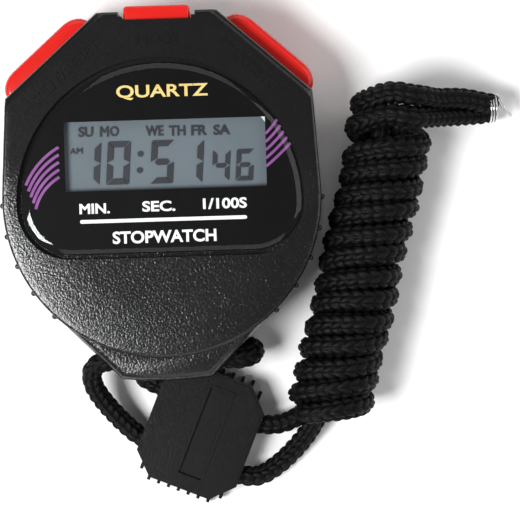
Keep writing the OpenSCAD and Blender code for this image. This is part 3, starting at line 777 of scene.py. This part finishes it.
def lens_outline(grow=0.0, steps=90):
    """A circle with a flat bottom and round corners."""
    inner = LENS_R - LENS_CORNER
    cy = LENS_CORNER - LENS_FLAT
    cx = math.sqrt(inner ** 2 - (cy - LENS_Y) ** 2)
    tilt = math.degrees(math.atan2(cy - LENS_Y, cx))
    r = LENS_CORNER + grow
    right = arc(cx, cy, r, -90, tilt, 14)[:-1]
    top = arc(0, LENS_Y, LENS_R + grow, tilt, 180 - tilt, steps)
    left = [(-x, y) for x, y in right[::-1]]
    return np.array(right + top + left)


def tube_faces(rings, n):
    """The faces of a closed tube of rings with n points each, its flat ends included."""
    faces = [tuple(range(n))[::-1]]
    for k in range(rings - 1):
        low, high = k * n, (k + 1) * n
        faces += [(low + i, low + (i + 1) % n, high + (i + 1) % n, high + i) for i in range(n)]
    faces.append(tuple(range((rings - 1) * n, rings * n)))
    return faces


def lofted(name, loops, smooth_angle=35):
    """A closed body through loops of the same number of points, its ends closed flat."""
    verts = np.vstack(loops)
    faces = tube_faces(len(loops), len(loops[0]))
    ob = new_object(name, verts, faces, smooth_angle)
    recalculate(ob)
    shade(ob, smooth_angle)
    return ob


def at_height(points, z):
    """Flat points lifted to z, one height or one for each point."""
    return np.column_stack([points, np.broadcast_to(z, len(points))])


def shift_dial(ob):
    """Moves a mesh made about the dial's middle to its place in the row frame."""
    ob.data.transform(Matrix.Translation((0, DIAL_Y * MM, 0)))
    return ob


def rod(name, x, y, r, z0, z1, sides=20, tip=0.0):
    """An upright round rod, its top edge rounded by tip."""
    turns = [2 * math.pi * k / sides for k in range(sides)]
    ring = np.array([(math.cos(a), math.sin(a)) for a in turns])
    layers = [(r, z0), (r, z1 - tip)]
    if tip:
        layers += [(r * math.cos(a), z1 - tip + tip * math.sin(a)) for a in (0.5, 0.95, 1.35)]
    return lofted(name, [at_height(ring * rr + (x, y), z) for rr, z in layers], 60)


def face_drop(points):
    """How far the face falls towards the rim: nothing over the top, a gentle dome below."""
    r = np.linalg.norm(points, axis=1)
    return 0.0041 * smooth_step(8, -14, points[:, 1]) * np.clip(r - 20, 0, None) ** 2


def onto_shoulder(ob, side):
    """Moves a mesh made along the x axis onto the right (1) or left (-1) shoulder."""
    ob.data.transform(Matrix.Diagonal((side, 1, 1, 1))
                      @ Matrix.Translation((TOP_HALF * MM, TOP_Y * MM, 0))
                      @ Matrix.Rotation(SHOULDER_TURN, 4, "Z"))
    recalculate(ob)


def rounding(edge, r, inset_r, up, steps=5):
    """(inset, height) pairs that round a bottom edge (up=-1) or a top edge (up=1)."""
    quarter = [math.pi / 2 * i / steps for i in range(steps + 1)]
    pairs = [(inset_r * (1 - math.cos(a)), edge - up * r * (1 - math.sin(a))) for a in quarter]
    return pairs if up > 0 else pairs[::-1]


def pocket_boxes():
    """The shoulder buttons' pockets, as cutters."""
    out = []
    for side in (1, -1):
        cut = box_object("pocket", (1.95, -3.2, 3), (SHOULDER_LONG + 3, 9, 16))
        onto_shoulder(cut, side)
        out.append(cut)
    return out


WALL = 1.8
NOTCH_HALF = 7.2


def mode_cutters():
    """The mode button's stepped notch, open to the face."""
    half = NOTCH_HALF
    return [box_object("notch", (-half, TOP_Y - 3.2, 3), (half, TOP_Y + 5, 18.32)),
            box_object("notch_face", (-half, TOP_Y - 1.75, 3), (half, TOP_Y + 5, 30)),
            box_object("notch_step", (-half - 0.75, TOP_Y - 1, 3), (half + 0.75, TOP_Y + 5, 30))]


def cavity(z0, z1, low_y):
    """The room for the works, as a cutter: round, and flat along low_y."""
    r = CASE_R - WALL
    a = math.degrees(math.asin(low_y / r))
    ring = np.array(arc(0, 0, r, a, 180 - a, 72))
    return lofted("cavity", [at_height(ring, z0), at_height(ring, z1)])


def make_tab():
    """The lanyard's tab, kept clear of the round body's middle."""
    corner = CASE_R / math.sqrt(2)
    right = TAB_END + [(corner + 0.6, -corner + 0.6), (8, -20)]
    plan = np.array([(0, -TAB_REACH)] + right + [(-x, y) for x, y in right[::-1]])
    layers = [(0.6, 7.8), (0.05, 8.3), (0.05, TAB_TOP - 1.5), (0.5, TAB_TOP - 0.6),
              (1.0, TAB_TOP - 0.22), (1.6, TAB_TOP)]
    tab = lofted("tab", [at_height(inset_loop(plan, inset), z) for inset, z in layers], 30)
    return boolean(tab, [rod("keep_out", 0, 0, 28.5, 0, 50, 120)])


def make_front_case():
    outline = case_outline(with_tab=False)
    on_shoulder = (outline[:, 1] > SHOULDER_Y - 0.1) & (np.abs(outline[:, 0]) > TOP_HALF - 0.1)
    wide = np.where(on_shoulder, 1.9, 0.7)
    drop = np.where(on_shoulder, 1.0, 0.55)
    foot = inset_loop(outline, 0.35)
    loops = [at_height(foot, SEAM_Z + 0.02), at_height(foot, SEAM_Z + 0.35),
             at_height(outline, SEAM_Z + 0.45)]
    for i in range(6):
        a = math.pi / 2 * i / 5
        ring = inset_loop(outline, wide * (1 - math.cos(a)))
        loops.append(at_height(ring, FACE_Z - face_drop(ring) - drop * (1 - math.sin(a))))
    rim = inset_loop(outline, wide)
    for part in np.linspace(0.97, 0.35, 15):
        ring = rim * part
        loops.append(at_height(ring, FACE_Z - face_drop(ring)))
    body = lofted("front_shell", loops)
    boolean(body, [make_tab()], "UNION")
    seat = lens_outline(0.62)
    x, y, half_w, half_h = 0.95, 9.1, 21.5, 7.9
    boolean(body, [lofted("seat", [at_height(seat, 16.95), at_height(seat, 30)]),
                   box_object("window", (x - half_w, y - half_h, 1), (x + half_w, y + half_h, 30)),
                   cavity(8, 16, -29)] + pocket_boxes() + mode_cutters())
    hole = rod("hole", 0, 0, 2.65, -40, 40, 40)
    hole.data.transform(Matrix.Translation((0, (HOLE_Y + 1) * MM, HOLE_Z * MM))
                        @ Matrix.Rotation(math.pi / 2, 4, "Y"))
    boolean(body, [hole])
    shade(body, 32)
    shift_dial(body)
    body.data.materials.append(MATERIALS["case"])
    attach(body, "root")
    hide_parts("front_case")


RIB_OUT, RIB_R = 33.12, 0.6
SCREWS = [(27.2, 8), (-27.2, 8), (20.2, -19.8), (-20.2, -19.8)]
SOUNDER_AT = (12, -9)


def make_ribs():
    """Five half-round grip ribs each side, on both shells."""
    for i in range(5):
        for side in (1, -1):
            a = math.radians(-1 - 11.25 * i)
            x, y = side * RIB_OUT * math.cos(a), RIB_OUT * math.sin(a)
            for part, z0, z1, tip in (("front", SEAM_Z + 0.4, 17, 0.55),
                                      ("rear", 1.6, SEAM_Z - 0.25, 0.3)):
                if part == "rear" and y < -28:
                    continue
                name = f"rib_{part}_{'r' if side > 0 else 'l'}{i}"
                ob = shift_dial(rod(name, x, y, RIB_R, z0, z1, 20, tip))
                ob.data.materials.append(MATERIALS["case_satin"])
                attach(ob, "root")


def make_rear_case():
    outline = inset_loop(case_outline(with_tab=True), 0.25)
    loops = [at_height(inset_loop(outline, inset), z) for inset, z in rounding(0, 2.4, 2.4, -1)]
    loops += [at_height(outline, SEAM_Z - 0.35), at_height(inset_loop(outline, 0.3), SEAM_Z - 0.05)]
    body = lofted("rear_shell", loops)
    boolean(body, [box_object("below", (-60, -60, -5), (60, -28.5, 30)), cavity(1.8, 20, -26.7)]
            + pocket_boxes()
            + [box_object("notch", (-NOTCH_HALF, TOP_Y - 3.2, 3), (NOTCH_HALF, TOP_Y + 5, 30))])
    cutters = [rod("screw_well", x, y, 2.1, -1, 1.25, 32) for x, y in SCREWS]
    # the sounder's holes: six in a ring and one in its middle
    for k in range(7):
        a, ring = 2 * math.pi * k / 6, 0 if k == 6 else 2.6
        x, y = SOUNDER_AT[0] + ring * math.cos(a), SOUNDER_AT[1] + ring * math.sin(a)
        cutters.append(rod("sound_hole", x, y, 0.5, -1, 3, 16))
    boolean(body, cutters)
    shade(body, 32)
    shift_dial(body)
    body.data.materials.append(MATERIALS["case_back"])
    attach(body, "root")
    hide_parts("rear_case")


# ---------- buttons ----------

BUTTON_LOW = 3.35


def side_plan():
    """A shoulder button from above: a along the shoulder, b outward, its ends curved over."""
    start, end, bend, proud, inner = 2.3, 25.5, 4.7, 3.4, -1.5
    angles = np.radians(np.arange(0, 91, 9))
    near = [(start + bend * (1 - math.cos(a)), proud * math.sin(a)) for a in angles]
    far = [(end - bend * (1 - math.cos(a)), proud * math.sin(a)) for a in angles[::-1]]
    return np.array(([(start, inner)] + near + far + [(end, inner)])[::-1])


def make_side_button(name, side, node):
    """A shoulder button's cap, rounded top and bottom."""
    plan = side_plan()
    r = 1.3
    layers = rounding(BUTTON_LOW, r, r, -1) + rounding(15.65, r, r, 1)
    ob = lofted(name, [at_height(inset_loop(plan, inset), z) for inset, z in layers], 40)
    onto_shoulder(ob, side)
    shift_dial(ob)
    ob.data.materials.append(MATERIALS["button"])
    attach(ob, node.replace("button_", ""))
    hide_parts(node)


def make_mode_button():
    half, y0, y1, z0, z1 = 6.85, 36.5, 39.9, BUTTON_LOW, 18.2
    corners = [(-half, y0), (half, y0), (half, y1), (-half, y1)]
    plan = np.array(rounded_corner(corners, [0.2, 0.2, 0.8, 0.8]))
    r = 0.5
    layers = [(0.4, z0), (0, z0 + 0.4), (0, z1 - r)]
    layers += [(r * (1 - math.cos(a)), z1 - r + r * math.sin(a)) for a in (0.4, 0.8, 1.2, 1.55)]
    loops = [at_height(inset_loop(plan, inset), z) for inset, z in layers]
    ob = shift_dial(lofted("mode_cap", loops, 40))
    ob.data.materials.append(MATERIALS["button"])
    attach(ob, "mode")
    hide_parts("button_mode")


# ---------- lens, prints and display ----------

def make_lens():
    """The lens, its front edge rolled over like a pillow's."""
    outline = lens_outline(0, 120)
    edge, roll_wide, roll_high, steps = 17.7, 3.0, 1.4, 9
    layers = [(0.15, 17.36), (0, 17.5), (0, edge)]
    for i in range(1, steps + 1):
        a = math.pi / 2 * i / steps
        layers.append((roll_wide * (1 - math.cos(a)), edge + roll_high * math.sin(a)))
    loops = [at_height(inset_loop(outline, inset), z) for inset, z in layers]
    ob = shift_dial(lofted("lens_cover", loops, 50))
    ob.data.materials.append(MATERIALS["lens"])
    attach(ob, "root")
    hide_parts("lens")


def dress_print(ob, slot):
    """Puts a printed or moulded shape in its place, with its finish."""
    shift_dial(ob)
    ob.data.materials.append(MATERIALS[slot])
    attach(ob, "root")


def flat_piece(name, polygons, z, slot, thick=0.015):
    """Thin printed shapes: each polygon is a list of points about the dial's middle."""
    verts, faces = [], []
    for polygon in polygons:
        start, n = len(verts), len(polygon)
        verts += [(x, y, z) for x, y in polygon] + [(x, y, z + thick) for x, y in polygon]
        faces.append(tuple(range(start, start + n))[::-1])
        faces.append(tuple(range(start + n, start + 2 * n)))
        for i in range(n):
            j = (i + 1) % n
            faces.append((start + i, start + j, start + n + j, start + n + i))
    ob = new_object(name, verts, faces, 30)
    recalculate(ob)
    dress_print(ob, slot)


def lettering(name, words, centre, width, height, z, slot, bold=0.0, deep=0.015, turn=0.0):
    """Words as a mesh, fitted to a width and a height in millimetres about a centre."""
    curve = bpy.data.curves.new(name, "FONT")
    curve.body = words
    curve.offset = bold
    curve.extrude = 0.01
    curve.resolution_u = 4
    text = bpy.data.objects.new(name, curve)
    bpy.context.scene.collection.objects.link(text)
    depsgraph = bpy.context.evaluated_depsgraph_get()
    mesh = bpy.data.meshes.new_from_object(text.evaluated_get(depsgraph))
    bpy.data.objects.remove(text)
    co = np.array([v.co for v in mesh.vertices])
    low, high = co.min(0), co.max(0)
    scale = np.array([width, height, deep]) / (high - low)
    co = (co - (low + high) / 2) * scale
    c, s = math.cos(math.radians(turn)), math.sin(math.radians(turn))
    x = centre[0] + co[:, 0] * c - co[:, 1] * s
    y = centre[1] + co[:, 0] * s + co[:, 1] * c
    for v, p in zip(mesh.vertices, np.column_stack([x, y, z + deep / 2 + co[:, 2]])):
        v.co = p * MM
    ob = bpy.data.objects.new(name, mesh)
    bpy.context.scene.collection.objects.link(ob)
    mesh.materials.clear()
    dress_print(ob, slot)


# Which of a digit's seven bars are lit
SEGMENTS = {"0": "abcdef", "1": "bc", "4": "bcfg", "5": "acdfg", "6": "acdefg"}


def digit(char, x, y, w, h, b):
    """The seven-segment bars, each b wide, of a digit whose lower left corner is at x, y."""
    gap = 0.09
    slant = 0.075
    m = h / 2

    def flat(y0, up):
        """A lying bar; up is 1 for the bottom one, -1 for the top one and 0 for the middle one."""
        if up == 0:
            tip, wide = b * 0.55 + gap, b + gap
            return [(tip, y0), (wide, y0 - b / 2), (w - wide, y0 - b / 2), (w - tip, y0),
                    (w - wide, y0 + b / 2), (wide, y0 + b / 2)]
        return [(gap * 1.5, y0), (w - gap * 1.5, y0), (w - b - gap, y0 + up * b),
                (b + gap, y0 + up * b)]

    def upright(left, low, high, low_end, high_end):
        outer, inner = (0, b) if left else (w, w - b)
        return [(outer, low + low_end[0]), (inner, low + low_end[1]), (inner, high - high_end[1]),
                (outer, high - high_end[0])]

    end, mid = (gap * 1.5, b + gap), (gap * 0.6, b / 2 + gap)
    shapes = {
        "a": flat(h, -1), "g": flat(m, 0), "d": flat(0, 1),
        "f": upright(True, m, h, mid, end), "b": upright(False, m, h, mid, end),
        "e": upright(True, 0, m, end, mid), "c": upright(False, 0, m, end, mid),
    }
    return [[(x + px + slant * py, y + py) for px, py in shapes[s]] for s in SEGMENTS[char]]


def curved_stripe(start, end, bulge, width, steps=14):
    """A band of even width along a shallow bow from start to end."""
    a, b = np.array(start), np.array(end)
    normal = np.array([-(b - a)[1], (b - a)[0]]) / np.linalg.norm(b - a)
    mid = (a + b) / 2 + normal * bulge * 2
    t = np.linspace(0, 1, steps)[:, None]
    line = (1 - t) ** 2 * a + 2 * t * (1 - t) * mid + t ** 2 * b
    tangent = np.gradient(line, axis=0)
    tangent /= np.linalg.norm(tangent, axis=1)[:, None]
    side = np.column_stack([-tangent[:, 1], tangent[:, 0]]) * width / 2
    return [tuple(p) for p in np.vstack([line + side, (line - side)[::-1]])]


def letter_m(x, y, w, h, bar):
    """A plain block capital M whose lower left corner is at x, y."""
    dip, shoulder = h * 0.32, h * 0.62
    shape = [(0, 0), (bar, 0), (bar, shoulder), (w / 2, dip), (w - bar, shoulder), (w - bar, 0),
             (w, 0), (w, h), (w - bar, h), (w / 2, dip + bar * 1.3), (bar, h), (0, h)]
    return [(x + px, y + py) for px, py in shape]


def capsule(x0, x1, y, thick):
    r = thick / 2
    return arc(x1 - r, y, r, -90, 90, 8) + arc(x0 + r, y, r, 90, 270, 8)


# Heights of the print on the mask, the segments on the cell and the moulded legends on the face
PRINT_Z = 17.31
INK_Z = 15.81
MOULDED_Z = FACE_Z - 0.1
STRIPES = 5


def make_prints():
    flat_piece("rule_line", [capsule(-17.1, 17.5, -4.4, 0.75)], PRINT_Z, "print_white")
    for name, words, centre, width, height, bold in (
            ("legend_min", "MIN.", (-14, -1.74), 6.3, 2.15, 0.03),
            ("legend_sec", "SEC.", (-0.7, -1.6), 6.85, 2.2, 0.03),
            ("legend_100s", "1/100S", (13, -1.4), 9.1, 2.25, 0.03),
            ("legend_stopwatch", "STOPWATCH", (0.3, -7.9), 21.5, 2.6, 0.03)):
        lettering(name, words, centre, width, height, PRINT_Z, "print_white", bold)
    lettering("legend_quartz", "QUARTZ", (0.7, 22.05), 19, 3.1, PRINT_Z, "print_gold", 0.02)
    left = [curved_stripe((-21.1, 11.2 - 1.55 * k), (-28.1 + 0.48 * k, 3.5 - 1.24 * k), -0.85, 0.6)
            for k in range(STRIPES)]
    right = [curved_stripe((21.8, 12.7 - 1.68 * k), (24.3 + 0.66 * k, 15.6 - 1.24 * k), -0.12, 0.55)
             for k in range(STRIPES)]
    flat_piece("stripes_left", left, PRINT_Z, "print_purple")
    flat_piece("stripes_right", right, PRINT_Z, "print_purple")


def make_display_ink():
    big, small = (4.75, 9.0, 1.28), (3.6, 6.55, 0.95)
    shapes = []
    for char, x, y, size in (("1", -17.75, 3.15, big), ("0", -11.6, 3.15, big),
                             ("5", -2.5, 3.1, big), ("1", 3.6, 3.0, big),
                             ("4", 10.35, 3.2, small), ("6", 15.3, 3.2, small)):
        shapes += digit(char, x, y, *size)
    for x, y in ((-4.25, 9.4), (-4.5, 6.0)):
        shapes.append(arc(x, y, 0.62, 0, 345, 23))
    shapes += [letter_m(-12.56, 13.17, 1.85, 2.15, 0.42), letter_m(-17.5, 9.78, 1.25, 1.25, 0.26)]
    flat_piece("lcd_digits", shapes, INK_Z, "lcd_ink")
    for name, words, x, y, width, height in (
            ("lcd_su", "SU", -15.48, 14.3, 3.09, 2.15), ("lcd_mo", "O", -9.55, 14.25, 1.85, 2.15),
            ("lcd_we", "WE", -1.21, 14.1, 3.7, 2.15), ("lcd_th", "TH", 3.5, 14.0, 3.42, 2.15),
            ("lcd_fr", "FR", 8.04, 13.95, 3.26, 2.15), ("lcd_sa", "SA", 12.73, 13.9, 3.44, 2.15),
            ("lcd_am", "A", -18.25, 10.4, 1.2, 1.25)):
        lettering(name, words, (x, y), width, height, INK_Z, "lcd_ink", 0.03)


def make_moulded_legends():
    """The button names, raised a little from the face."""
    turn = math.degrees(SHOULDER_TURN)
    along = np.array([math.cos(SHOULDER_TURN), math.sin(SHOULDER_TURN)])
    out = np.array([0.6644, 0.7474])
    at = np.array([TOP_HALF, TOP_Y]) + along * 13.2 - out * 4.6
    for name, words, centre, width, rot in (
            ("moulded_start_stop", "START/STOP", (at[0], at[1]), 17.5, turn),
            ("moulded_split_reset", "SPLIT/RESET", (-at[0], at[1]), 18.5, -turn),
            ("moulded_mode", "ODE", (1.3, 32.9), 6, 0)):
        lettering(name, words, centre, width, 2.3, MOULDED_Z, "case_satin", 0.03, 0.26, rot)
    flat_piece("moulded_mode_m", [letter_m(-4.3, 31.75, 2.25, 2.3, 0.42)], MOULDED_Z, "case_satin",
               0.26)


def dress_nodes():
    """Gives every CAD node that still shows, or lies inside, its finish."""
    nodes_by_slot = {
        "case": "front_case", "case_back": "rear_case", "lens": "lens", "mask": "dial_mask",
        "tape": "lens_tape", "lcd": "lcd_cell lcd_polariser", "reflector": "lcd_reflector",
        "frame_plastic": "lcd_frame", "zebra": "zebra_strip_upper zebra_strip_lower",
        "board": "circuit_board", "epoxy": "chip_blob", "ceramic_chip": "chip_capacitors",
        "steel": "quartz_crystal button_cell sounder_springs case_screws board_screws",
        "contact": "cell_contact_plus cell_contact_minus sounder_disc leaf_split_reset leaf_mode "
                   "leaf_start_stop",
        "button": "button_split_reset button_mode button_start_stop",
        "adjuster": "adjuster_front adjuster_back", "wire": "cord_tie",
        "cord": "cord_left cord_right cord_hank cord_tail",
    }
    slots = {node: slot for slot, nodes in nodes_by_slot.items() for node in nodes.split()}
    for node, slot in slots.items():
        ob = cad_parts[node]
        if not ob.material_slots:
            ob.data.materials.append(MATERIALS[slot])
        for s in ob.material_slots:
            s.material = MATERIALS[slot]
    for node, width in (("adjuster_front", 0.16), ("adjuster_back", 0.14)):
        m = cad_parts[node].modifiers.new("soft_edges", "BEVEL")
        m.width = width * MM
        m.segments = 2
        m.limit_method = "ANGLE"
        m.angle_limit = math.radians(35)
        m.harden_normals = False


make_cords()
make_front_case()
make_ribs()
make_rear_case()
make_side_button("start_stop_cap", 1, "button_start_stop")
make_side_button("split_reset_cap", -1, "button_split_reset")
make_mode_button()
make_lens()
make_prints()
make_display_ink()
make_moulded_legends()
dress_nodes()
